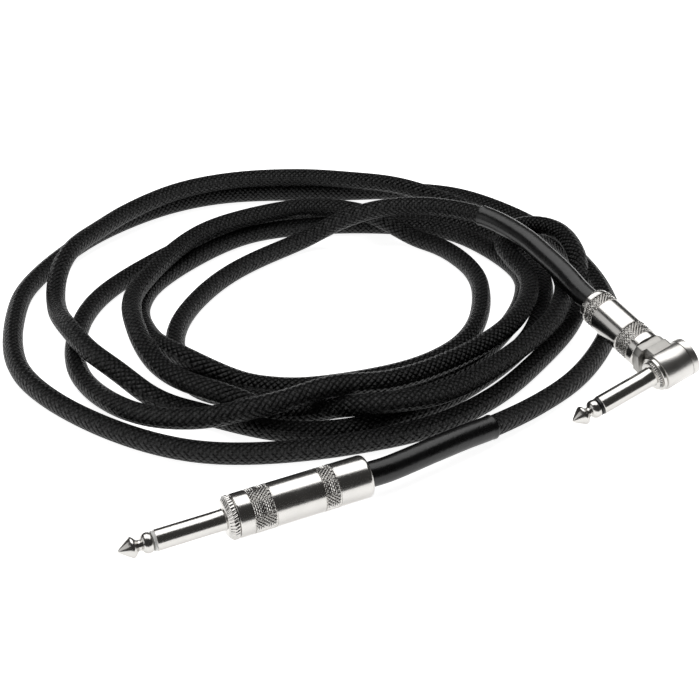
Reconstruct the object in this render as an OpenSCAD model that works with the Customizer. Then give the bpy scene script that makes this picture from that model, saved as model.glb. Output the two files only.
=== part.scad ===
// Instrument cable: one straight plug, one right-angle plug and a loosely coiled braided cable.
// Millimetres, +Z up. The origin is on the surface, under the middle of the box of the two plugs.

/* [Cable] */
// outer diameter of the braided cable
cable_diameter = 7; // [5:0.1:8]
// outer diameter of the insulated centre wire
core_diameter = 2.4; // [1.6:0.1:3]
// diameter of the bare centre wire
conductor_diameter = 0.8; // [0.4:0.1:1.2]
// diameter of the twisted shield tail
shield_diameter = 1; // [0.6:0.1:1.6]
// length of bare core between the jacket end and the stripped wire, straight plug
straight_core_length = 6; // [3:0.5:9]

/* [Coil] */
// length of the coil, left to right
coil_length = 222; // [180:1:300]
// width of the coil, front to back
coil_width = 180; // [150:1:260]
// how far the open middle of the coil is drawn in, as a part of its own size
coil_eye_share = 1; // [0.7:0.05:1.1]
// height of the coil, two layers of cable
coil_height = 14; // [7:0.5:28]

/* [Pin] */
// diameter of the pin of both plugs
pin_diameter = 6.35; // [6.3:0.01:6.35]
// length of the pin from shoulder to point
pin_length = 31; // [28:0.5:34]
// length of the tip contact
tip_length = 10; // [8:0.5:11]
// width of the insulating ring between tip and sleeve
ring_width = 0.8; // [0.4:0.1:1.5]
// diameter of the rod that carries the tip contact back through the sleeve
rod_diameter = 2; // [1.5:0.1:2.4]
// outer diameter of the insulating tube around the rod
rod_tube_diameter = 3.8; // [3:0.1:4.4]

/* [Straight plug] */
// outer diameter of the straight plug's barrel
straight_barrel_diameter = 13.2; // [12.8:0.1:16]
// length of the straight plug's barrel
straight_barrel_length = 42.2; // [36:0.2:60]
// thickness of the milled collar
collar_thickness = 3; // [2:0.1:5]
// length of the threaded neck behind the collar
neck_length = 8; // [5:0.5:10]
// diameter of the threaded neck of both plugs
neck_diameter = 10.4; // [9.8:0.1:10.6]
// distance from the shoulder back to the end of the cable jacket
straight_jacket_depth = 28.6; // [26:0.2:31]

/* [Right-angle plug] */
// outer diameter of the right-angle plug's barrel
angle_barrel_diameter = 12.8; // [12.4:0.1:15]
// length of the right-angle plug's barrel
angle_barrel_length = 29.4; // [26:0.2:44]
// diameter of the round head
head_diameter = 12.8; // [12.4:0.1:15]
// depth of the head on the pin side of the cable axis
head_front = 3.2; // [3:0.1:5]
// depth of the head on the cap side of the cable axis
head_back = 6.8; // [6:0.1:9]
// length of the squared elbow from the head's axis to the barrel
elbow_length = 9; // [8:0.5:12]
// width across the flats of the elbow
elbow_flats = 11.6; // [11:0.1:12.6]
// length of the flange and the toothed ring in front of the head
flange_length = 2.4; // [1.6:0.1:4]
// thickness of the screw cap's rim
cap_thickness = 2.6; // [2:0.1:4]
// distance from the head's axis back to the end of the cable jacket
angle_jacket_depth = 21.8; // [20:0.2:25]

/* [Boots] */
// wall of the shrunk sleeve on the cable
boot_wall = 0.4; // [0.3:0.05:0.8]

/* [Fits] */
// gap between threads, and between a barrel and its liner, each side
running_clearance = 0.08; // [0.05:0.01:0.1]
// gap between a boot and the cable, each side
boot_clearance = 0.05; // [0.05:0.01:0.1]
// gap between a barrel's rear hole and the boot, each side
hole_clearance = 0.35; // [0.3:0.05:0.5]
// gap between faces that close on each other
face_gap = 0.05; // [0.05:0.01:0.1]
// wall of the liners
liner_wall = 0.45; // [0.4:0.05:0.6]

/* [Hidden] */
eps = 0.01;
cable_r = cable_diameter / 2;
core_r = core_diameter / 2;
wire_r = conductor_diameter / 2;
tail_r = shield_diameter / 2;
pin_r = pin_diameter / 2;
rod_r = rod_diameter / 2;
tube_r = rod_tube_diameter / 2;
neck_r = neck_diameter / 2;
bore_r = neck_r + running_clearance;
liner_r = bore_r - running_clearance;
boot_in_r = cable_r + boot_clearance;
boot_r = boot_in_r + boot_wall;
hole_r = boot_r + hole_clearance;
crimp_in_r = cable_r + 0.05;
crimp_r = crimp_in_r + 0.6;
sleeve_length = pin_length - tip_length - ring_width;

// the whole model is moved by these, so that the plugs' box is centred on the origin
lay_x = -24.84;
lay_y = 17.4;

// a place that follows the coil when its length or width changes
coil_x = -7;
coil_y = 24;
function beside(p) = [
    coil_x + (p[0] - coil_x) * coil_length / 222,
    coil_y + (p[1] - coil_y) * coil_width / 180,
    p[2]];

// straight plug: shoulder of the pin, and the way from the point to the barrel
straight_r = straight_barrel_diameter / 2;
straight_heading = 25;
straight_at = beside([-36, -94, straight_r]);
straight_back = [cos(straight_heading), sin(straight_heading), 0];
straight_rear = collar_thickness + straight_barrel_length;

// right-angle plug: the point where its two axes cross, and its three turns
angle_r = angle_barrel_diameter / 2;
angle_at = beside([102.7, -27.8, 12]);
angle_yaw = -61.3;
angle_pitch = 5.8;
angle_roll = 14.8;
angle_back = [-cos(angle_pitch) * cos(angle_yaw), -cos(angle_pitch) * sin(angle_yaw), sin(angle_pitch)];
angle_rear = elbow_length + angle_barrel_length;

// routes of the two ends of the cable, from the jacket end outwards
straight_route = concat(
    [for (d = [straight_jacket_depth, straight_jacket_depth + 10, straight_rear - 4, straight_rear, straight_rear + 7])
        straight_at + d * straight_back],
    [for (p = [[26, -62.5, 6.5], [36, -55.5, 5.8], [44, -50, 5],
            [60, -37.5, 4], [75, -23, 4], [87, -4, 3.8], [93.5, 13, 3.5], [94.5, 24, 3.5]])
        beside(p)]);
angle_route = concat(
    [for (d = [angle_jacket_depth, angle_jacket_depth + 8.6, angle_rear - 4, angle_rear, angle_rear + 7])
        angle_at + d * angle_back],
    [for (p = [[76.6, 22, 17.9], [71.3, 32.5, 18.9], [65, 44.5, 19.6], [54, 60, 19.2], [43, 69, 18.3],
            [26, 74, 17.6], [10, 74, 15.8], [-4, 73.5, 11]])
        beside(p)]);
// outline of the coil and of its open middle, seen from above, at a length of 222 and a width of 180
coil_outline = [[104, -2], [104, 21], [99, 41], [87, 60], [67, 79], [56, 87], [31, 93.5], [7, 92.5],
    [-45, 90], [-69, 80.5], [-89, 64], [-102.5, 47], [-114.5, 20], [-118, 1], [-105.5, -47],
    [-78.5, -73], [-44, -86.5], [-8, -85.5], [26.5, -78.5], [54.5, -60.5], [77, -33], [81, -24],
    [81, -16], [85, -10], [93, -7]];
coil_eye = [[-50, -12], [-45, 5], [-35, 20], [-22, 33], [-8, 43], [7, 45.5], [23, 46], [33, 44],
    [42, 37], [50, 24], [52.5, 8], [50.5, -8], [43, -21], [29, -35.5], [10, -44], [-10, -47.5],
    [-26, -45.5], [-39, -41.5], [-48, -30]];
straight_boot_from = 1;
straight_boot_to = 7;
angle_boot_from = 1;
angle_boot_to = 9;
sides = 12;

// which piece to build

// ---- helpers ----
function unit(v) = v / norm(v);
function way(p, i) = unit(p[min(i + 1, len(p) - 1)] - p[max(i - 1, 0)]);
function ring(p, i, r) = let (t = way(p, i), s = unit(cross(t, [0, 0, 1])), n = cross(s, t))
    [for (k = [0:sides - 1]) p[i] + r * (cos(360 * k / sides) * s + sin(360 * k / sides) * n)];

// solid tube along the points
module rope(p, r) {
    m = len(p);
    points = [for (i = [0:m - 1]) each ring(p, i, r)];
    skin = [for (i = [0:m - 2], k = [0:sides - 1]) let (q = (k + 1) % sides)
        [i * sides + k, i * sides + q, (i + 1) * sides + q, (i + 1) * sides + k]];
    polyhedron(points, concat([[for (k = [sides - 1:-1:0]) k]], skin,
        [[for (k = [0:sides - 1]) (m - 1) * sides + k]]), convexity = 8);
}

// hollow sleeve along points a to b of the route
module sock(p, a, b, r_in, r_out) {
    m = b - a + 1;
    points = concat([for (i = [a:b]) each ring(p, i, r_out)], [for (i = [a:b]) each ring(p, i, r_in)]);
    o = m * sides;
    outer = [for (i = [0:m - 2], k = [0:sides - 1]) let (q = (k + 1) % sides)
        [i * sides + k, i * sides + q, (i + 1) * sides + q, (i + 1) * sides + k]];
    inner = [for (f = outer) [o + f[3], o + f[2], o + f[1], o + f[0]]];
    first = [for (k = [0:sides - 1]) let (q = (k + 1) % sides) [k, o + k, o + q, q]];
    e = (m - 1) * sides;
    last = [for (k = [0:sides - 1]) let (q = (k + 1) % sides) [e + k, e + q, o + e + q, o + e + k]];
    polyhedron(points, concat(outer, inner, first, last), convexity = 8);
}

// round piece along local +X from a to b
module bar(a, b, r1, r2) {
    translate([a, 0, 0]) rotate([0, 90, 0]) cylinder(h = b - a, r1 = r1, r2 = r2, $fn = 48);
}
module tube(a, b, r_out, r_in) {
    difference() {
        bar(a, b, r_out, r_out);
        bar(a - 1, b + 1, r_in, r_in);
    }
}

// places a plug: its pin points along local +X for the straight one
module at_straight() {
    translate([lay_x, lay_y, 0]) translate(straight_at) rotate([0, 0, straight_heading + 180]) children();
}
// right-angle plug: its pin points along local -Y, its barrel lies along local -X
module at_angle() {
    translate([lay_x, lay_y, 0]) translate(angle_at)
        rotate([0, 0, angle_yaw]) rotate([0, angle_pitch, 0]) rotate([angle_roll, 0, 0]) children();
}
// pin of the right-angle plug: local +X of the pin is the plug's -Y
module at_angle_pin() {
    at_angle() translate([0, -head_front - flange_length, 0]) rotate([0, 0, -90]) children();
}

// ---- pieces common to both plugs, with the shoulder at x = 0 ----
module tip_shape(rod_back) {
    // profile from the base of the contact to its point
    b = pin_length - tip_length;
    union() {
        bar(-rod_back, b + 1, rod_r, rod_r);
        translate([b, 0, 0]) rotate([0, 90, 0]) rotate_extrude($fn = 48)
            polygon([[0, 0], [2.6, 0], [2.95, 0.6], [2.95, 2.1], [2.6, 3.1], [1.95, 4], [1.95, 4.3],
                [2.5, 5.1], [3.1, 6], [3.1, 6.4], [1.6, tip_length - 1.2], [0.8, tip_length - 0.3],
                [0, tip_length]]);
    }
}
module insulator_shape(back, flange_r) {
    difference() {
        union() {
            bar(-back, sleeve_length + ring_width, tube_r, tube_r);
            bar(sleeve_length, sleeve_length + ring_width, pin_r - 0.2, pin_r - 0.2);
            bar(-back - 0.8, -back, flange_r, flange_r);
        }
        bar(-back - 2, sleeve_length + ring_width + 1, rod_r, rod_r);
    }
}
// ground strip with its washer at x = -from and its crimp around the jacket, ending at x = -to
module clamp_shape(from, to, washer_in_r, crimp_length) {
    difference() {
        union() {
            tube(-from - 0.6, -from, neck_r - 0.4, washer_in_r);
            tube(-to, -from - 0.5, crimp_r, crimp_in_r);
        }
        // cuts the tube down to one strip in front of the crimp
        translate([-to + crimp_length, -6, -2]) cube([to - from - 0.6 - crimp_length, 12, 10]);
        // slit of the crimp
        translate([-to - 1, -0.7, 0]) cube([crimp_length + 2, 1.4, 10]);
    }
}
module barrel_shape(front, length, r) {
    difference() {
        translate([-front, 0, 0]) rotate([0, -90, 0]) rotate_extrude($fn = 64)
            polygon([[0, 0], [r - 0.4, 0], [r, 0.4], [r, length - 1.2], [r - 0.35, length - 0.45],
                [r - 1.1, length], [0, length]]);
        bar(-front - length + 3.6, -front + 1, bore_r, bore_r);
        bar(-front - length - 1, -front, hole_r, hole_r);
    }
}

// ---- cable ----
module coil() {
    color([0.1, 0.1, 0.1]) translate([lay_x - 7, lay_y + 24, 0])
        scale([coil_length / 222, coil_width / 180, 1]) linear_extrude(coil_height)
        difference() {
            polygon(coil_outline);
            scale(coil_eye_share) polygon(coil_eye);
        }
}
module straight_lead() {
    color([0.1, 0.1, 0.1]) translate([lay_x, lay_y, 0]) rope(straight_route, cable_r);
}
module angle_lead() {
    color([0.1, 0.1, 0.1]) translate([lay_x, lay_y, 0]) rope(angle_route, cable_r);
}

// ---- straight plug ----
module straight_tip() {
    color([0.8, 0.8, 0.8]) at_straight() tip_shape(collar_thickness + neck_length + 4);
}
module straight_insulator() {
    color([0.05, 0.05, 0.05]) at_straight() insulator_shape(collar_thickness + neck_length, 3.2);
}
module straight_sleeve() {
    color([0.8, 0.8, 0.8]) at_straight() difference() {
        union() {
            bar(-1, sleeve_length, pin_r, pin_r);
            bar(-collar_thickness, -0.6, straight_r, straight_r);
            bar(-0.6, 0, straight_r, straight_r - 0.8);
            bar(-collar_thickness - neck_length, -collar_thickness, neck_r, neck_r);
        }
        bar(-collar_thickness - neck_length - 1, sleeve_length + 1, tube_r, tube_r);
    }
}
module straight_lug() {
    s = collar_thickness + neck_length + 0.8;
    color([0.75, 0.7, 0.5]) at_straight() difference() {
        bar(-s - 7, -s, 1.7, 1.7);
        bar(-s - 3.2, -s + 1, rod_r, rod_r);
        bar(-s - 8, -s - 3.8, 1.1, 1.1);
    }
}
module straight_clamp() {
    s = collar_thickness + neck_length;
    color([0.75, 0.7, 0.5]) at_straight() clamp_shape(s, straight_jacket_depth + 9.4, 3.3, 6);
}
module straight_core() {
    d = straight_jacket_depth;
    color([0.9, 0.9, 0.88]) at_straight() bar(-d, -d + straight_core_length, core_r, core_r);
}
module straight_conductor() {
    s = collar_thickness + neck_length + 0.8;
    d = straight_jacket_depth;
    color([0.75, 0.4, 0.2]) at_straight() bar(-d + straight_core_length, -s - 4, wire_r, wire_r);
}
module straight_shield() {
    d = straight_jacket_depth;
    color([0.75, 0.4, 0.2]) at_straight() translate([0, 0, -cable_r + tail_r + 0.1])
        bar(-d, -d + 5, tail_r, tail_r);
}
module straight_lug_solder() {
    s = collar_thickness + neck_length + 0.8;
    color([0.7, 0.7, 0.7]) at_straight() tube(-s - 6.6, -s - 4, 1.1, wire_r);
}
module straight_clamp_solder() {
    d = straight_jacket_depth;
    color([0.7, 0.7, 0.7]) at_straight() difference() {
        intersection() {
            translate([-d + 1.6, -1.1, -crimp_in_r]) cube([2.4, 2.2, 1.6]);
            bar(-d, -d + 5, crimp_in_r, crimp_in_r);
        }
        translate([0, 0, -cable_r + tail_r + 0.1]) bar(-d, -d + 6, tail_r, tail_r);
    }
}
module straight_boot() {
    color([0.08, 0.08, 0.08]) translate([lay_x, lay_y, 0])
        sock(straight_route, straight_boot_from, straight_boot_to, boot_in_r, boot_r);
}
module straight_liner() {
    color([0.85, 0.85, 0.8]) at_straight()
        tube(-straight_rear + 3.7, -collar_thickness - neck_length - 0.7, liner_r, liner_r - liner_wall);
}
module straight_barrel() {
    color([0.8, 0.8, 0.8]) at_straight()
        barrel_shape(collar_thickness + face_gap, straight_barrel_length - face_gap, straight_r);
}

// ---- right-angle plug ----
floor_y = 1.6;
lug_top = floor_y - 0.8 - 0.5;
module angle_tip() {
    color([0.8, 0.8, 0.8]) at_angle_pin() tip_shape(head_front + flange_length - lug_top + 0.3);
}
module angle_insulator() {
    color([0.05, 0.05, 0.05]) at_angle_pin() insulator_shape(head_front + flange_length - floor_y, 3);
}
module angle_sleeve() {
    color([0.8, 0.8, 0.8]) at_angle_pin() difference() {
        union() {
            bar(-1, sleeve_length, pin_r, pin_r);
            bar(-flange_length, -flange_length / 2, 5.8, 5.8);
            bar(-flange_length / 2 - eps, 0, 5.2, 5);
            bar(-flange_length - head_front + floor_y, -flange_length, 3.6, 3.6);
        }
        bar(-flange_length - head_front, sleeve_length + 1, tube_r, tube_r);
    }
}
module angle_body() {
    head_r = head_diameter / 2;
    color([0.8, 0.8, 0.8]) at_angle() difference() {
        union() {
            translate([0, head_back, 0]) rotate([90, 0, 0])
                cylinder(h = head_front + head_back, r = head_r, $fn = 64);
            intersection() {
                bar(-elbow_length, 0, head_r + 0.6, head_r + 0.6);
                translate([-elbow_length, -elbow_flats / 2, -elbow_flats / 2])
                    cube([elbow_length, elbow_flats / 2 + head_back - 1, elbow_flats]);
            }
            bar(-elbow_length - neck_length, -elbow_length, neck_r, neck_r);
        }
        // clears the flange under the head
        translate([-6.2, -9, -9]) cube([9, 9 - head_front, 18]);
        // room for the lug, and the cap's thread
        translate([0, head_back + 1, 0]) rotate([90, 0, 0])
            cylinder(h = head_back + 1 + floor_y, r = neck_r - 0.2, $fn = 48);
        // seat of the sleeve
        rotate([90, 0, 0]) cylinder(h = head_front + 1, r = 3.6, $fn = 48);
        // way for the core
        bar(-elbow_length - neck_length - 1, 0, core_r + 0.8, core_r + 0.8);
    }
}
module angle_lug() {
    color([0.75, 0.7, 0.5]) at_angle() difference() {
        union() {
            translate([0, -lug_top, 0]) rotate([90, 0, 0]) cylinder(h = 0.5, r = 2.3, $fn = 48);
            translate([-4.4, -lug_top - 0.5, -1]) cube([3.4, 0.5, 2]);
        }
        rotate([90, 0, 0]) cylinder(h = 4, r = rod_r, $fn = 48);
    }
}
module angle_clamp() {
    s = elbow_length + neck_length;
    color([0.75, 0.7, 0.5]) at_angle() clamp_shape(s, angle_jacket_depth + 8, core_r + 0.8, 5);
}
module angle_core() {
    color([0.9, 0.9, 0.88]) at_angle() translate([0, wire_r - lug_top, 0])
        bar(-angle_jacket_depth, -6, core_r, core_r);
}
module angle_conductor() {
    color([0.75, 0.4, 0.2]) at_angle() translate([0, wire_r - lug_top, 0]) bar(-6, -2.8, wire_r, wire_r);
}
module angle_shield() {
    d = angle_jacket_depth;
    color([0.75, 0.4, 0.2]) at_angle() translate([0, 0, -cable_r + tail_r + 0.1])
        bar(-d, -d + 3, tail_r, tail_r);
}
module angle_lug_solder() {
    color([0.7, 0.7, 0.7]) at_angle() difference() {
        translate([-4.2, -lug_top, -0.8]) cube([2.2, 1, 1.6]);
        translate([0, wire_r - lug_top, 0]) bar(-6, -2.8, wire_r, wire_r);
    }
}
module angle_clamp_solder() {
    d = angle_jacket_depth;
    color([0.7, 0.7, 0.7]) at_angle() difference() {
        intersection() {
            translate([-d + 0.8, -1.1, -crimp_in_r]) cube([1.8, 2.2, 1.6]);
            bar(-d, -d + 5, crimp_in_r, crimp_in_r);
        }
        translate([0, 0, -cable_r + tail_r + 0.1]) bar(-d, -d + 6, tail_r, tail_r);
    }
}
module angle_boot() {
    color([0.08, 0.08, 0.08]) translate([lay_x, lay_y, 0])
        sock(angle_route, angle_boot_from, angle_boot_to, boot_in_r, boot_r);
}
module angle_liner() {
    color([0.85, 0.85, 0.8]) at_angle()
        tube(-angle_rear + 3.7, -elbow_length - neck_length - 0.7, liner_r, liner_r - liner_wall);
}
module angle_barrel() {
    color([0.8, 0.8, 0.8]) at_angle()
        barrel_shape(elbow_length + face_gap, angle_barrel_length - face_gap, angle_r);
}
module angle_cap_disc() {
    color([0.5, 0.3, 0.2]) at_angle() translate([0, head_back, 0]) rotate([90, 0, 0])
        cylinder(h = 0.8, r = neck_r - 0.2 - running_clearance - 0.8 - running_clearance, $fn = 48);
}
module angle_cap() {
    head_r = head_diameter / 2;
    skirt_r = neck_r - 0.2 - running_clearance;
    color([0.8, 0.8, 0.8]) at_angle() difference() {
        translate([0, head_back + face_gap - 3.4, 0]) rotate([-90, 0, 0]) rotate_extrude($fn = 64)
            polygon([[0, 0], [skirt_r, 0], [skirt_r, 3.4], [head_r, 3.4], [head_r, 2.9 + cap_thickness],
                [head_r - 0.5, 3.4 + cap_thickness], [0, 3.4 + cap_thickness]]);
        translate([0, head_back - 4, 0]) rotate([-90, 0, 0])
            cylinder(h = 4, r = skirt_r - 0.8, $fn = 48);
    }
}

coil();
straight_lead();
angle_lead();
straight_tip();
straight_insulator();
straight_sleeve();
straight_lug();
straight_clamp();
straight_core();
straight_conductor();
straight_shield();
straight_lug_solder();
straight_clamp_solder();
straight_boot();
straight_liner();
straight_barrel();
angle_tip();
angle_insulator();
angle_sleeve();
angle_body();
angle_lug();
angle_clamp();
angle_core();
angle_conductor();
angle_shield();
angle_lug_solder();
angle_clamp_solder();
angle_boot();
angle_liner();
angle_barrel();
angle_cap_disc();
angle_cap();
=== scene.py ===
import bpy, bmesh, math
import numpy as np
from mathutils import Vector, Matrix


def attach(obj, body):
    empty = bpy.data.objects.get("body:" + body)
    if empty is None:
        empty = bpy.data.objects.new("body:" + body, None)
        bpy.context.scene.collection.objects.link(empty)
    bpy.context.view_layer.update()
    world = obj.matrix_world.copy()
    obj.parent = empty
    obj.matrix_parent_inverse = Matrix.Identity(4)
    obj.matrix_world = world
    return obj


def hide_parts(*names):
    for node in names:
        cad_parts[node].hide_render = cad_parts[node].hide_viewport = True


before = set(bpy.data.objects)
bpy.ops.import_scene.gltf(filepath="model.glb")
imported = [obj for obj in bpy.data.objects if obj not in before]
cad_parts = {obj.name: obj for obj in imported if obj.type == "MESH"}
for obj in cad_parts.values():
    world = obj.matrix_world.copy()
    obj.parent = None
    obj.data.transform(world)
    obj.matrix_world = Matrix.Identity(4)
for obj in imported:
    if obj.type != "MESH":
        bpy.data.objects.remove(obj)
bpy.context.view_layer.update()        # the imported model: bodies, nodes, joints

# camera: the aim point is on the floor, in the middle of the coil
view = {
    "lens": 62.74,                    # mm, on a 36 mm wide sensor
    "height": 34.8,                   # degrees above the floor
    "distance": 0.428,                # metres from the aim point
    "aim": (-0.02484, 0.0174, 0.0),
}


def addCamera():
    tilt = math.radians(view["height"])
    camData = bpy.data.cameras.new("camera")
    camData.lens = view["lens"]
    camData.sensor_width = 36
    camData.clip_start = 0.01
    cam = bpy.data.objects.new("camera", camData)
    cam.location = Vector(view["aim"]) + view["distance"] * Vector((0, -math.cos(tilt), math.sin(tilt)))
    cam.rotation_euler = (math.pi / 2 - tilt, 0, 0)
    bpy.context.scene.collection.objects.link(cam)
    bpy.context.scene.camera = cam


addCamera()
print("camera set")


# one value in a material: arithmetic on it adds Math nodes
class Term:
    def __init__(self, tree, socket):
        self.tree = tree
        self.socket = socket

    def maths(self, operation, *others):
        node = self.tree.nodes.new("ShaderNodeMath")
        node.operation = operation
        for slotIndex, item in enumerate((self,) + others):
            if isinstance(item, Term):
                self.tree.links.new(item.socket, node.inputs[slotIndex])
            else:
                node.inputs[slotIndex].default_value = item
        return Term(self.tree, node.outputs[0])

    def __add__(self, other): return self.maths("ADD", other)
    def __radd__(self, other): return self.maths("ADD", other)
    def __sub__(self, other): return self.maths("SUBTRACT", other)
    def __rsub__(self, other): return self.maths("MULTIPLY", -1.0).maths("ADD", other)
    def __mul__(self, other): return self.maths("MULTIPLY", other)
    def __rmul__(self, other): return self.maths("MULTIPLY", other)
    def __truediv__(self, other): return self.maths("DIVIDE", other)


# a material and its Principled shader, set up by name
class Finish:
    def __init__(self, name, **constants):
        self.material = bpy.data.materials.new(name)
        self.material.use_nodes = True
        self.tree = self.material.node_tree
        self.shader = self.tree.nodes["Principled BSDF"]
        for key, value in constants.items():
            self.shader.inputs[key.replace("_", " ")].default_value = value

    def node(self, kind, settings=None, output=0, **inputs):
        node = self.tree.nodes.new(kind)
        for key, value in (settings or {}).items():
            if key == "stops":
                ramp = node.color_ramp
                while len(ramp.elements) < len(value):
                    ramp.elements.new(0.5)
                for element, (place, colour) in zip(ramp.elements, value):
                    element.position = place
                    element.color = colour
            else:
                setattr(node, key, value)
        for key, value in inputs.items():
            socket = node.inputs[int(key[1:])] if key[0] == "n" and key[1:].isdigit() else node.inputs[key]
            if isinstance(value, Term):
                self.tree.links.new(value.socket, socket)
            else:
                socket.default_value = value
        return Term(self.tree, node.outputs[output])

    def objectPlace(self):
        return self.node("ShaderNodeTexCoord", None, 3)

    def feed(self, socketName, term):
        self.tree.links.new(term.socket, self.shader.inputs[socketName])

    def bump(self, height, depth, strength=1.0):
        node = self.tree.nodes.new("ShaderNodeBump")
        node.inputs["Strength"].default_value = strength
        node.inputs["Distance"].default_value = depth
        self.tree.links.new(height.socket, node.inputs["Height"])
        self.tree.links.new(node.outputs[0], self.shader.inputs["Normal"])

    def blendColour(self, share, first, second):
        return self.node("ShaderNodeMix", {"data_type": "RGBA"}, 2, n0=share, n6=first, n7=second)


# ways from each plug's own millimetres to the frame
layShift = Vector((-24.84, 17.4, 0))
metre = Matrix.Scale(0.001, 4)
straightPlace = (metre @ Matrix.Translation(layShift + Vector((-36, -94, 6.6)))
                 @ Matrix.Rotation(math.radians(205), 4, "Z"))
anglePlace = (metre @ Matrix.Translation(layShift + Vector((102.7, -27.8, 12)))
              @ Matrix.Rotation(math.radians(-61.3), 4, "Z") @ Matrix.Rotation(math.radians(5.8), 4, "Y")
              @ Matrix.Rotation(math.radians(14.8), 4, "X"))
anglePinPlace = anglePlace @ Matrix.Translation((0, -5.6, 0)) @ Matrix.Rotation(math.radians(-90), 4, "Z")

# cord: 3.15 m of braided cable, laid in six loose turns with one fold back
cord = {
    "diameter": 7.0,                  # mm
    "length": 3.15,                   # metres
    "pointSpacing": 2.0,              # mm between the rings of the tube
    "gap": 0.04,                      # mm kept between the turns
    "heldPoints": (36, 62),           # points at each end that the plugs hold
    "carriers": 10,                   # yarns each way round the braid
    "yarnDepth": 0.0012,             # metres
}
coilRoute = [
    [91, 48, 3.5], [76, 81, 3.5], [47, 108, 3.5], [24, 113.5, 3.5], [0, 112.5, 3.5], [-51, 110, 3.5],
    [-74, 101, 3.5], [-93, 85.5, 3.5], [-106, 69, 3.5], [-118, 43, 3.5], [-121, 25, 3.5],
    [-109, -21, 3.5], [-50, -59.5, 3.5], [18, -51, 3.5], [45, -34, 3.5], [67, -7.5, 3.5],
    [79, 12, 3.5], [84, 26, 3.5], [85, 37, 4.5], [86.5, 45, 9], [84.8, 54, 10.8], [82.5, 63, 11.2],
    [77, 69.5, 11], [69, 71, 10.7], [61.5, 66, 10.7], [58.5, 57, 10.8], [60.5, 46, 11], [65, 33, 11],
    [64, 19, 10.6], [53, -3, 10.6], [30, -24, 10.8], [10, -36, 12.5], [-5, -40, 14.3],
    [-20, -45.5, 12.5], [-34, -49, 11], [-47, -51, 9.5], [-66, -47, 8], [-87, -26, 4], [-95, -6, 3.5],
    [-92, 29, 3.5], [-46, 83.5, 3.5], [-22, 92.5, 3.5], [10, 91, 3.5], [34, 90, 3.5], [63, 69, 3.5],
    [72.5, 46, 3.5], [64, 5, 3.5], [38, -27.5, 3.5], [16, -42.5, 3.5], [-4, -49.4, 3.5],
    [-22, -49.8, 3.5], [-56, -37.5, 3.5], [-65, -34, 5.5], [-73, -29, 9], [-80, -23.5, 10.8],
    [-87, -16.5, 11], [-95, -5, 10.8], [-100, 4, 9.3], [-104.5, 15, 6], [-108, 27, 4.5],
    [-109, 36, 6.5], [-108, 45, 9.5], [-105, 55, 10.5], [-98.5, 68, 10], [-89, 83, 10],
    [-71, 100, 10.5], [-49, 109.5, 10.6], [-21, 112.5, 10.6], [0, 109.5, 10.8], [20, 105, 10.5],
    [41, 99.5, 6], [59, 87, 3.5], [78.5, 56, 3.5], [78.8, 45, 5], [78.3, 37, 8.2], [78, 27, 10.3],
    [75, 14, 10.5], [67.5, -1, 10.5], [31, -38.5, 10.6], [6, -45.5, 10.8], [-6, -42.5, 7],
    [-18, -41.6, 3.8], [-27, -41.3, 5.5], [-38, -39.5, 9.5], [-53, -33.5, 10.8], [-62, -26, 11],
    [-69, -15, 12], [-74, -2, 12.3], [-77, 10, 11.3], [-77.5, 20, 10.6], [-67, 50, 10.6],
    [-55, 67.5, 10.6], [-33, 81, 10.6], [-14, 86, 10.6], [8, 80.5, 10], [27, 72, 3.5],
    [37, 64.5, 3.5], [48, 43, 3.5], [43, 6, 3.5], [24, -14.5, 3.5], [-17, -27, 3.5], [-33, -25, 3.5],
    [-45, -23, 7.5], [-55, -19.5, 10.6], [-60.5, -14.5, 10.2], [-65, -8, 8], [-69.5, 0, 6],
    [-73, 9, 4.2], [-76, 19, 3.5], [-73, 38, 3.5], [-44.5, 73, 3.5], [-20, 82, 3.5], [19, 83, 3.5],
    [42, 77, 3.5], [64.5, 46, 3.5], [62, 23, 3.5], [46, -6, 3.5], [34, -17.5, 3.5], [10, -30.5, 3.5],
    [-18, -34.5, 3.5], [-50, -27.5, 3.5], [-59.5, -9, 3.5], [-60.5, 13, 3.5], [-46, 45, 3.5],
    [-16, 71.5, 5],
]
straightEnd = [[26, -62.5, 6.5], [36, -55.5, 5.8], [44, -50, 5], [60, -37.5, 4], [75, -23, 4],
               [87, -4, 3.8], [93.5, 13, 3.5], [94.5, 24, 3.5]]
angleEnd = [[-4, 73.5, 11], [10, 74, 15.8], [26, 74, 17.6], [43, 69, 18.3], [54, 60, 19.2],
            [65, 44.5, 19.6], [71.3, 32.5, 18.9], [76.6, 22, 17.9]]


def alongPlug(place, distances):
    return [list(place @ Vector((-d, 0, 0)) * 1000 - layShift) for d in distances]


def smoothLine(points, spacing):
    points = np.array(points, float)
    knots = np.vstack([2 * points[0] - points[1], points, 2 * points[-1] - points[-2]])
    line = []
    for i in range(1, len(knots) - 2):
        p0, p1, p2, p3 = knots[i - 1:i + 3]
        t1 = np.linalg.norm(p1 - p0) ** 0.5
        t2 = t1 + np.linalg.norm(p2 - p1) ** 0.5
        t3 = t2 + np.linalg.norm(p3 - p2) ** 0.5
        for t in np.linspace(t1, t2, 16, endpoint=False):
            a1 = (t1 - t) / t1 * p0 + t / t1 * p1
            a2 = (t2 - t) / (t2 - t1) * p1 + (t - t1) / (t2 - t1) * p2
            a3 = (t3 - t) / (t3 - t2) * p2 + (t - t2) / (t3 - t2) * p3
            b1 = (t2 - t) / t2 * a1 + t / t2 * a2
            b2 = (t3 - t) / (t3 - t1) * a2 + (t - t1) / (t3 - t1) * a3
            line.append((t2 - t) / (t2 - t1) * b1 + (t - t1) / (t2 - t1) * b2)
    line.append(points[-1])
    return evenOut(np.array(line), spacing)


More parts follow.
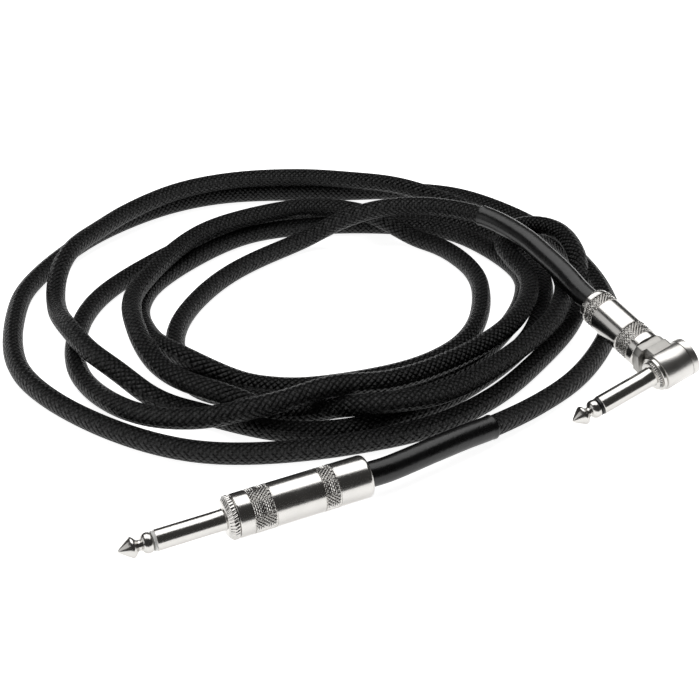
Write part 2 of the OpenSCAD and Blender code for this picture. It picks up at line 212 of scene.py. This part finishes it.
def evenOut(line, spacing):
    run = np.r_[0, np.cumsum(np.linalg.norm(np.diff(line, axis=0), axis=1))]
    stops = np.linspace(0, run[-1], int(round(run[-1] / spacing)) + 1)
    return np.stack([np.interp(stops, run, line[:, k]) for k in range(3)], 1)


settling = {"rounds": 90, "push": 0.35, "easing": 0.20, "keepWide": 0.19, "pull": 0.01}


def settle(line, gap, held):
    # the turns push each other apart where they cross, and rest on the floor
    start = line.copy()
    count = len(line)
    free = np.ones(count)
    free[:held[0]] = 0
    free[count - held[1]:] = 0
    ramp = np.minimum(np.clip((np.arange(count) - held[0]) / 12, 0, 1),
                      np.clip((count - held[1] - np.arange(count)) / 12, 0, 1))
    free = (free * ramp)[:, None]
    for step in range(settling["rounds"]):
        if step % 15 == 0:
            apart = np.linalg.norm(line[:, None] - line[None], axis=2)
            first, second = np.nonzero(np.triu(apart < gap + 4, 13))
        away = line[second] - line[first]
        size = np.linalg.norm(away, axis=1)
        push = np.clip(gap - size, 0, None)[:, None] * away / size[:, None] * 0.5
        move = np.zeros_like(line)
        np.add.at(move, second, push * settling["push"])
        np.add.at(move, first, -push * settling["push"])
        bend = np.zeros_like(line)
        bend[1:-1] = line[:-2] + line[2:] - 2 * line[1:-1]
        easing = settling["easing"] * bend
        easing[1:-1] -= settling["keepWide"] * (bend[:-2] + bend[2:]) / 2   # wide turns keep their size
        line = line + free * (move + easing + settling["pull"] * (start - line))
        line[:, 2] = np.maximum(line[:, 2], gap / 2)
    return line


straightStart = alongPlug(straightPlace, [28.6, 38.6, 41.2, 45.2, 52.2])
angleStart = alongPlug(anglePlace, [21.8, 30.4, 34.4, 38.4, 45.4])
cordLine = smoothLine(straightStart + straightEnd + coilRoute + angleEnd + angleStart[::-1],
                      cord["pointSpacing"])
cordLine = settle(cordLine, cord["diameter"] + cord["gap"], cord["heldPoints"])
cordPath = [((Vector(p) + layShift) * 0.001) for p in cordLine]
cordRun = np.r_[0, np.cumsum(np.linalg.norm(np.diff(cordLine, axis=0), axis=1))]
print("cord laid:", len(cordPath), "points,", round(cordRun[-1]), "mm")


def sweptTube(name, path, radii, sides, closed):
    curveData = bpy.data.curves.new(name, "CURVE")
    curveData.dimensions = "3D"
    curveData.twist_mode = "MINIMUM"
    curveData.bevel_depth = 1.0
    curveData.bevel_resolution = sides // 4 - 1
    curveData.use_fill_caps = closed
    spline = curveData.splines.new("POLY")
    spline.points.add(len(path) - 1)
    for point, place, radius in zip(spline.points, path, radii):
        point.co = (*place, 1)
        point.radius = radius
    obj = bpy.data.objects.new(name + "Curve", curveData)
    bpy.context.scene.collection.objects.link(obj)
    bpy.context.view_layer.update()
    mesh = bpy.data.meshes.new_from_object(obj.evaluated_get(bpy.context.evaluated_depsgraph_get()))
    bpy.data.objects.remove(obj)
    mesh.name = name
    bm = bmesh.new()
    bm.from_mesh(mesh)
    bmesh.ops.remove_doubles(bm, verts=bm.verts, dist=1e-7)
    bmesh.ops.recalc_face_normals(bm, faces=bm.faces)
    bm.to_mesh(mesh)
    bm.free()
    mesh.polygons.foreach_set("use_smooth", [len(p.vertices) < 5 for p in mesh.polygons])
    tube = bpy.data.objects.new(name, mesh)
    bpy.context.scene.collection.objects.link(tube)
    return tube


# braid: yarns cross two over, two under, on the tube's own unwrapping
def weave(finish, length, diameter, carriers):
    unwrap = finish.node("ShaderNodeUVMap")
    place = finish.node("ShaderNodeSeparateXYZ", Vector=unwrap)
    along = Term(finish.tree, place.socket.node.outputs[0]) * (length / (math.pi * diameter) * carriers)
    around = Term(finish.tree, place.socket.node.outputs[1]) * carriers
    keepPositive = 400.0
    left = around + along
    right = around - along + keepPositive
    leftCrown = (left.maths("FRACT") * math.pi).maths("SINE")
    rightCrown = (right.maths("FRACT") * math.pi).maths("SINE")
    turn = ((left.maths("FLOOR") - right.maths("FLOOR") + keepPositive) / 4.0).maths("FRACT")
    onTop = turn.maths("LESS_THAN", 0.45)
    return left, right, onTop, leftCrown, rightCrown


def braidFinish():
    finish = Finish("braid", Roughness=0.42, Specular_IOR_Level=0.30)
    left, right, onTop, leftCrown, rightCrown = weave(
        finish, cordRun[-1], cord["diameter"], cord["carriers"])
    crown = onTop * leftCrown + (1 - onTop) * rightCrown
    under = onTop * rightCrown + (1 - onTop) * leftCrown
    # fine filaments run along whichever yarn is on top
    filaments = ((onTop * left + (1 - onTop) * right) * (2 * math.pi * 5)).maths("SINE")
    height = crown.maths("POWER", 0.7) * (0.55 + 0.45 * under) + 0.04 * filaments
    wear = finish.node("ShaderNodeTexNoise", Vector=finish.objectPlace(), Scale=90.0, Detail=3.0)
    # colour: painted shade in the hollows between yarns and painted highlight on the yarn crowns, mixed with
    # a random wear tone
    paintedShadeHighlightAndWear = (height * 0.85 + 0.3 * wear - 0.1).maths("MAXIMUM", 0.0)
    colour = finish.node("ShaderNodeValToRGB", {"stops": [
        (0.0, (0.0001, 0.0001, 0.0001, 1)), (0.42, (0.0008, 0.0008, 0.0009, 1)),
        (0.7, (0.008, 0.008, 0.0083, 1)), (1.0, (0.034, 0.034, 0.035, 1))]}, Fac=paintedShadeHighlightAndWear)
    finish.feed("Base Color", colour)
    finish.bump(height, cord["yarnDepth"])
    return finish.material


cordPiece = sweptTube("braidedCord", cordPath, [cord["diameter"] / 2000] * len(cordPath), 24, True)
cordPiece.data.materials.append(braidFinish())
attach(cordPiece, "cable")
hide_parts("coil", "straight_lead", "angle_lead")
print("cord made")


# shrunk sleeves over the cord behind each plug
boots = {
    "outer": 3.95,                    # mm, radius
    "wall": 0.4,
    "straight": (10.0, 64.0),         # mm along the cord from the jacket's end
    "angle": (8.6, 84.0),
}


def bootFinish(name, length):
    finish = Finish(name, Base_Color=(0.0015, 0.0015, 0.0017, 1), Specular_IOR_Level=0.42)
    left, right, onTop, leftCrown, rightCrown = weave(
        finish, length, 2 * boots["outer"], cord["carriers"])
    wrinkle = finish.node("ShaderNodeTexNoise", Vector=finish.objectPlace(), Scale=260.0, Detail=2.0)
    finish.feed("Roughness", 0.22 + 0.12 * wrinkle)
    rib = (onTop * leftCrown + (1 - onTop) * rightCrown)
    finish.bump(rib * 0.5 + wrinkle, 0.00006, 0.4)
    return finish.material


def addBoot(name, span, fromEnd, node):
    line = cordLine[::-1] if fromEnd else cordLine
    run = np.r_[0, np.cumsum(np.linalg.norm(np.diff(line, axis=0), axis=1))]
    start, end = span
    stops = np.concatenate([[start], np.arange(start + 1, end - 1.0, 1.2), [end - 0.9, end - 0.35, end]])
    place = np.stack([np.interp(stops, run, line[:, k]) for k in range(3)], 1)
    radii = np.full(len(stops), boots["outer"])
    radii[-3] += 0.10
    radii[-2] += 0.14
    radii[-1] -= 0.05
    path = [(Vector(p) + layShift) * 0.001 for p in place]
    boot = sweptTube(name, path, radii * 0.001, 40, False)
    wall = boot.modifiers.new("wall", "SOLIDIFY")
    wall.thickness = boots["wall"] * 0.001
    wall.offset = -1
    boot.data.materials.append(bootFinish(name + "Sleeve", end - start))
    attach(boot, "cable")
    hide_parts(node)
    return boot


straightBoot = addBoot("straightBoot", boots["straight"], False, "straight_boot")
angleBoot = addBoot("angleBoot", boots["angle"], True, "angle_boot")
print("boots made")


# metal finishes
def nickelFinish(name, roughness, grain, dark=(0.50, 0.49, 0.47, 1), light=(0.62, 0.605, 0.585, 1)):
    finish = Finish(name, Metallic=1.0)
    where = finish.objectPlace()
    cloud = finish.node("ShaderNodeTexNoise", Vector=where, Scale=160.0, Detail=3.0)
    finish.feed("Roughness", roughness + 0.08 * cloud)
    finish.feed("Base Color", finish.blendColour(cloud, dark, light))
    scratch = finish.node("ShaderNodeTexNoise", Vector=where, Scale=1800.0, Detail=2.0)
    finish.bump(scratch, grain)
    return finish.material


polished = nickelFinish("polishedNickel", 0.16, 0.000006)
satin = nickelFinish("satinNickel", 0.26, 0.000012)
brushed = nickelFinish("brushedNickel", 0.36, 0.00003, (0.20, 0.195, 0.185, 1), (0.42, 0.41, 0.39, 1))


def lathe(profile, steps):
    # (x, radius) pairs in mm, spun round the x axis; both ends meet, or lie on the axis
    bm = bmesh.new()
    verts = [bm.verts.new((x, max(r, 0.0), 0)) for x, r in profile]
    edges = [bm.edges.new(pair) for pair in zip(verts, verts[1:])]
    bmesh.ops.spin(bm, geom=verts + edges, axis=(1, 0, 0), cent=(0, 0, 0), angle=2 * math.pi,
                   steps=steps, use_merge=True)
    bmesh.ops.remove_doubles(bm, verts=bm.verts, dist=1e-5)
    return bm


def finishPiece(name, bm, material, body, nodes=(), place=None, sharp=32):
    mesh = bpy.data.meshes.new(name)
    if place is not None:
        bm.transform(place)
    bmesh.ops.recalc_face_normals(bm, faces=bm.faces)
    bm.to_mesh(mesh)
    bm.free()
    mesh.polygons.foreach_set("use_smooth", [True] * len(mesh.polygons))
    mesh.set_sharp_from_angle(angle=math.radians(sharp))
    obj = bpy.data.objects.new(name, mesh)
    bpy.context.scene.collection.objects.link(obj)
    mesh.materials.append(material)
    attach(obj, body)
    if nodes:
        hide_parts(*nodes)
    return obj


def fine(a, b, step):
    count = max(1, int(round(abs(b - a) / step)))
    return [a + (b - a) * i / count for i in range(count + 1)]


def knurl(bm, bands, radius, count, depth):
    # diamond knurl: two sets of slanted grooves cut the band into small points
    tri = lambda value: 1 - abs(2 * (value % 1) - 1)
    for vert in bm.verts:
        x, y, z = vert.co
        r = math.hypot(y, z)
        if r < radius - 0.3:
            continue
        for start, end in bands:
            if start - 1e-4 < x < end + 1e-4:
                turn = math.atan2(z, y) / (2 * math.pi) * count
                lead = (x - start) * count / (2 * math.pi * radius)
                edge = min(1.0, (x - start) / 0.25, (end - x) / 0.25)
                cut = min(tri(turn + lead), tri(turn - lead)) * 0.8
                new = radius + 0.05 - depth * (1 - min(cut * 1.5, 1.0)) * max(edge, 0)
                vert.co.y *= new / r
                vert.co.z *= new / r


straightBarrel = {
    "radius": 6.6, "front": -3.05, "rear": -45.2,
    "bands": [(-14.0, -7.6), (-34.0, -29.5)],
    "points": 34, "depth": 0.46,
}


def barrelProfile(spec, bore, hole, step=0.0):
    r, front, rear = spec["radius"], spec["front"], spec["rear"]
    outline = [(front, bore), (front, r - 0.45), (front - 0.12, r - 0.2), (front - 0.35, r - 0.03),
               (front - 0.7, r)]
    last = front - 0.7
    for start, end in sorted(spec["bands"], reverse=True):
        outline += [(x, r) for x in fine(last, end + 0.35, 3.0)[1:]]
        outline += [(end + 0.25, r - 0.14), (end + 0.08, r - 0.14)]
        outline += [(x, r) for x in fine(end, start, 0.16)]
        outline += [(start - 0.08, r - 0.14), (start - 0.25, r - 0.14), (start - 0.35, r)]
        last = start - 0.35
    if step:
        outline += [(rear + 2.7, r), (rear + 2.5, r - step)]
        r = r - step
    outline += [(rear + 1.6, r), (rear + 1.0, r - 0.07), (rear + 0.5, r - 0.3), (rear + 0.15, r - 0.75),
                (rear, r - 1.3), (rear, hole + 0.35), (rear + 0.15, hole + 0.08), (rear + 0.4, hole),
                (rear + 3.6, hole), (rear + 3.6, bore), (front, bore)]
    return outline


angleBarrel = {
    "radius": 6.4, "front": -9.05, "rear": -38.4,
    "bands": [(-18.0, -12.2), (-35.2, -31.2)],
    "points": 33, "depth": 0.46,
}
barrelBore = 5.28                     # mm, radius, over the liner
barrelHole = 4.3                      # mm, radius, for the boot


def addBarrel(name, spec, step, body, node, place):
    bm = lathe(barrelProfile(spec, barrelBore, barrelHole, step), spec["points"] * 10)
    knurl(bm, spec["bands"], spec["radius"], spec["points"], spec["depth"])
    finishPiece(name, bm, polished, body, [node], place=place)


addBarrel("straightBarrel", straightBarrel, 0.0, "straight_outer", "straight_barrel", straightPlace)
addBarrel("angleBarrel", angleBarrel, 0.35, "angle_outer", "angle_barrel", anglePlace)

# pin: the same on both plugs, 31 mm from its shoulder to its point
pin = {"radius": 3.175, "sleeveEnd": 20.2, "ringEnd": 21.0, "steps": 96}


def tipProfile():
    base = pin["ringEnd"]
    outline = [(0, 0.0), (0, 2.45), (0.25, 2.72), (0.7, 2.98), (1.3, 3.08), (1.9, 3.04), (2.5, 2.82),
               (3.0, 2.4), (3.3, 1.92), (3.55, 1.66), (3.9, 1.6), (4.2, 1.7), (4.6, 2.1), (5.1, 2.65),
               (5.5, 2.98), (5.8, 3.1), (6.1, 3.1), (6.35, 2.98), (7.2, 2.42), (8.3, 1.62), (9.1, 1.02),
               (9.6, 0.62), (9.88, 0.34), (10, 0.0)]
    return [(base + x, r) for x, r in outline]


def sleeveProfile(back):
    r = pin["radius"]
    end = pin["sleeveEnd"]
    return [(end, 1.95), (end, r - 0.12), (end - 0.12, r), (12, r), (4, r), (0.25, r), (0.05, r + 0.12),
            (0.0, r + 0.35)] + back


def addPin(prefix, place, sleeve):
    tip = lathe(tipProfile(), pin["steps"])
    finishPiece(prefix + "Tip", tip, polished, "cable", [prefix + "_tip"], place=place)
    finishPiece(prefix + "Sleeve", sleeve, polished, "cable", [prefix + "_sleeve"], place=place)


# straight plug's collar: slanted teeth milled round its bevelled edge
collar = {"radius": 6.6, "teeth": 36, "cut": 0.34}
# right-angle plug's ring of fine teeth round the pin's foot
toothedRing = {"teeth": 44, "cut": 0.30}


def straightSleeve():
    r = collar["radius"]
    back = [(0.0, 4.6), (-0.1, 5.0), (-0.35, 5.35)]
    back += [(-0.35 - 0.3 * k, 5.35 + 0.32 * k) for k in range(1, 4)]
    back += [(-1.45, r), (-1.9, r), (-2.3, r), (-2.62, r), (-2.8, r - 0.08), (-2.97, r - 0.3),
             (-3.0, r - 0.5), (-3.0, 5.15), (-11, 5.15), (-11, 1.95), (pin["sleeveEnd"], 1.95)]
    bm = lathe(sleeveProfile(back), collar["teeth"] * 8)
    for vert in bm.verts:
        x, y, z = vert.co
        radius = math.hypot(y, z)
        if -2.62 <= x < -0.5 and radius > 5.3:
            turn = math.atan2(z, y) / (2 * math.pi) * collar["teeth"] + x * 0.35
            cut = abs(2 * (turn % 1) - 1)
            new = radius - collar["cut"] * max(0.0, 1 - cut * 2.2)
            vert.co.y *= new / radius
            vert.co.z *= new / radius
    return bm


def angleSleeve():
    back = [(0.0, 4.3), (-0.1, 4.75), (-0.3, 4.95), (-0.6, 5.05), (-0.95, 5.05), (-1.1, 4.9), (-1.2, 4.9),
            (-1.25, 5.65), (-1.4, 5.8), (-2.2, 5.8), (-2.4, 5.6), (-2.4, 3.55), (-4.0, 3.55), (-4.0, 1.95),
            (pin["sleeveEnd"], 1.95)]
    bm = lathe(sleeveProfile(back), toothedRing["teeth"] * 6)
    for vert in bm.verts:
        x, y, z = vert.co
        radius = math.hypot(y, z)
        if -1.0 <= x <= -0.05 and radius > 4.5:
            turn = math.atan2(z, y) / (2 * math.pi) * toothedRing["teeth"]
            new = radius - toothedRing["cut"] * max(0.0, 1 - abs(2 * (turn % 1) - 1) * 2.0)
            vert.co.y *= new / radius
            vert.co.z *= new / radius
    return bm


addPin("straight", straightPlace, straightSleeve())
addPin("angle", anglePinPlace, angleSleeve())
print("pins made")

# right-angle head: round head along the pin, square shoulders towards the barrel
head = {"radius": 6.4, "front": -3.2, "back": 6.8, "flats": 11.6, "elbow": -9.0}


def spinHead(outline):
    # (y, radius) pairs in mm, spun round the head's own axis
    bm = bmesh.new()
    verts = [bm.verts.new((radius, y, 0)) for y, radius in outline]
    edges = [bm.edges.new(pair) for pair in zip(verts, verts[1:])]
    bmesh.ops.spin(bm, geom=verts + edges, axis=(0, 1, 0), cent=(0, 0, 0), angle=2 * math.pi,
                   steps=pin["steps"], use_merge=True)
    bmesh.ops.remove_doubles(bm, verts=bm.verts, dist=1e-5)
    return bm


def angleHead():
    r, front, back = head["radius"], head["front"], head["back"]
    return spinHead([
        (front, 3.6), (front, r - 0.5), (front + 0.15, r - 0.15), (front + 0.5, r), (0, r),
        (back - 0.2, r), (back - 0.05, r - 0.08), (back, r - 0.25), (back, 5.0), (-1.6, 5.0), (-1.6, 3.6),
        (front, 3.6)])


def angleCap():
    r, base = head["radius"], head["back"] + 0.05
    return spinHead([
        (base - 0.01, 0.0), (base - 0.01, 4.1), (base, 4.1), (base, r - 0.25), (base + 0.06, r - 0.08),
        (base + 0.2, r),
        (base + 1.9, r), (base + 2.25, r - 0.1), (base + 2.5, r - 0.45), (base + 2.6, r - 1.0),
        (base + 2.6, 0.0)])


def angleElbow():
    half = head["flats"] / 2
    whole = bmesh.new()
    blocks = ((head["elbow"], -6.2, -half, half, 1.8), (-6.5, -0.6, head["front"], half, 1.0))
    for left, right, front, back, cut in blocks:
        bm = bmesh.new()
        bmesh.ops.create_cube(bm, size=1)
        bmesh.ops.scale(bm, vec=(right - left, back - front, 2 * half), verts=bm.verts)
        bmesh.ops.translate(bm, vec=((left + right) / 2, (front + back) / 2, 0), verts=bm.verts)
        long = [e for e in bm.edges if abs(e.verts[0].co.x - e.verts[1].co.x) > 1]
        bmesh.ops.bevel(bm, geom=long, offset=cut, offset_type="OFFSET", segments=1, profile=0.5,
                        affect="EDGES", material=-1)
        bmesh.ops.bevel(bm, geom=list(bm.edges), offset=0.2, offset_type="OFFSET", segments=2,
                        profile=0.5, affect="EDGES", material=-1)
        part = bpy.data.meshes.new("part")
        bm.to_mesh(part)
        bm.free()
        whole.from_mesh(part)
        bpy.data.meshes.remove(part)
    return whole


finishPiece("angleHead", angleHead(), satin, "cable", ["angle_body"], place=anglePlace)
finishPiece("angleElbow", angleElbow(), brushed, "cable", place=anglePlace, sharp=25)
finishPiece("angleCap", angleCap(), satin, "cap_outer", ["angle_cap"], place=anglePlace)
print("plugs made")


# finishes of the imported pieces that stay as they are
def plainFinish(name, colour, roughness, metallic=0.0, grain=0.00002, scale=400.0, lighter=1.25):
    finish = Finish(name, Metallic=metallic)
    where = finish.objectPlace()
    cloud = finish.node("ShaderNodeTexNoise", Vector=where, Scale=scale, Detail=4.0)
    second = tuple(min(1.0, c * lighter) for c in colour)
    finish.feed("Base Color", finish.blendColour(cloud, (*colour, 1), (*second, 1)))
    finish.feed("Roughness", roughness + 0.12 * cloud)
    finish.bump(cloud, grain)
    return finish.material


stayFinishes = {
    "insulator": plainFinish("blackInsulator", (0.012, 0.012, 0.013), 0.35),
    "palePlastic": plainFinish("paleInsulator", (0.55, 0.55, 0.53), 0.3),
    "liner": plainFinish("linerPlastic", (0.62, 0.61, 0.57), 0.4),
    "core": plainFinish("corePlastic", (0.7, 0.7, 0.68), 0.45),
    "conductor": plainFinish("bareCopper", (0.55, 0.26, 0.14), 0.3, 1.0),
    "shield": plainFinish("twistedShield", (0.5, 0.25, 0.14), 0.45, 1.0, 0.00006, 1500.0),
    "lug": plainFinish("tinnedBrass", (0.6, 0.55, 0.38), 0.3, 1.0),
    "clamp": plainFinish("clampBrass", (0.6, 0.55, 0.38), 0.32, 1.0),
    "solder": plainFinish("solder", (0.55, 0.56, 0.58), 0.25, 1.0, 0.00004, 700.0),
    "disc": plainFinish("fibreDisc", (0.25, 0.11, 0.06), 0.7, 0.0, 0.00005, 1200.0),
}
for nodeName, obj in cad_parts.items():
    ending = "palePlastic" if nodeName == "straight_insulator" else nodeName.split("_")[-1]
    if ending in stayFinishes and not obj.hide_render:
        obj.data.materials.clear()
        obj.data.materials.append(stayFinishes[ending])
print("packed pieces finished")

# studio: pale floor that glows a little, one wide softbox above and behind, dim room
studio = {
    "room": 0.045,                    # grey of the room round the set
    "floor": (0.90, 0.90, 0.90), "floorGlow": 0.92,
    "boxSize": (1.3, 0.90), "boxPower": 8.5, "boxAt": (-0.05, 0.34, 0.80),
    "fillSize": (0.8, 0.5), "fillPower": 1.1, "fillAt": (-0.85, -0.22, 0.30),
}


def addStudio():
    bm = bmesh.new()
    bmesh.ops.create_grid(bm, x_segments=1, y_segments=1, size=40.0)
    mesh = bpy.data.meshes.new("floor")
    bm.to_mesh(mesh)
    bm.free()
    floor = bpy.data.objects.new("floor", mesh)
    bpy.context.scene.collection.objects.link(floor)
    finish = Finish("paper", Base_Color=(*studio["floor"], 1), Roughness=0.9, Specular_IOR_Level=0.1,
                    Emission_Color=(1, 1, 1, 1), Emission_Strength=studio["floorGlow"])
    mesh.materials.append(finish.material)
    world = bpy.data.worlds.new("studio")
    world.use_nodes = True
    world.node_tree.nodes["Background"].inputs["Color"].default_value = (1, 0.98, 0.95, 1)
    world.node_tree.nodes["Background"].inputs["Strength"].default_value = studio["room"]
    bpy.context.scene.world = world
    for name in ("box", "fill"):
        lampData = bpy.data.lights.new(name, "AREA")
        lampData.shape = "RECTANGLE"
        lampData.size, lampData.size_y = studio[name + "Size"]
        lampData.energy = studio[name + "Power"]
        lamp = bpy.data.objects.new(name, lampData)
        lamp.location = studio[name + "At"]
        lamp.rotation_euler = (Vector((0, 0, 0)) - Vector(lamp.location)).to_track_quat("-Z", "Y").to_euler()
        bpy.context.scene.collection.objects.link(lamp)


addStudio()
bpy.context.scene.view_settings.view_transform = "Standard"
